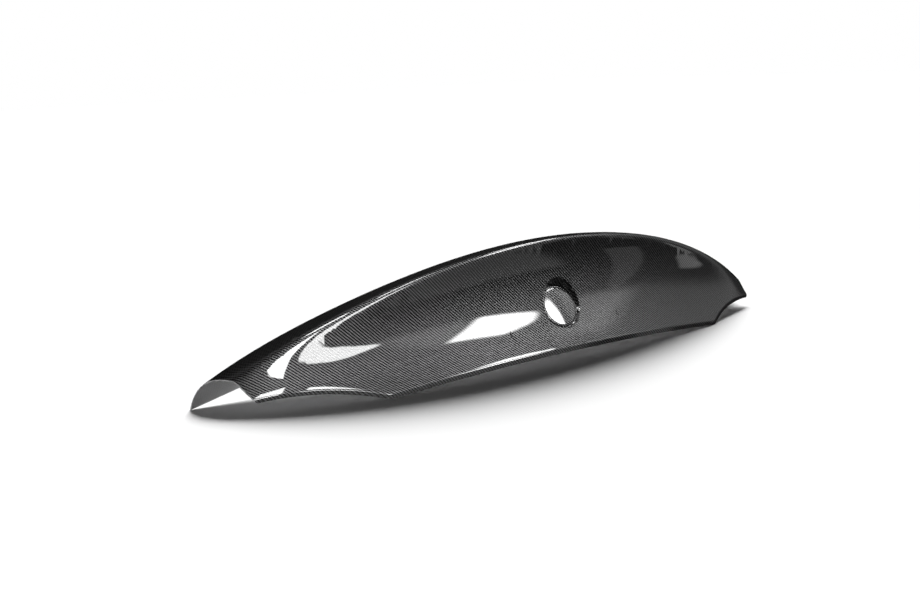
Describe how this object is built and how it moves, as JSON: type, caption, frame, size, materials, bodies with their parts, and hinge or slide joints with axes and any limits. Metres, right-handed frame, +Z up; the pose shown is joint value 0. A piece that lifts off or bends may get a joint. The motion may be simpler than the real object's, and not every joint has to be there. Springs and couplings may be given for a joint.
{
  "type": "car rear spoiler",
  "caption": "Ducktail rear spoiler for a car boot lid: one thin clear-coated twill carbon-fibre shell with a round badge seat and a turned-down lower edge.",
  "frame": {"origin": "middle of the bounding box in plan, on the surface that the part rests on", "axes": "+X across the car, along the long side, +Y towards the front of the car, +Z up"},
  "size_m": [1.2838, 0.2096, 0.2108],
  "materials": {
    "carbon": "2x2 twill carbon-fibre laminate under a polished clear coat"
  },
  "bodies": {
    "root": {"shell": "carbon"}
  },
  "joints": []
}
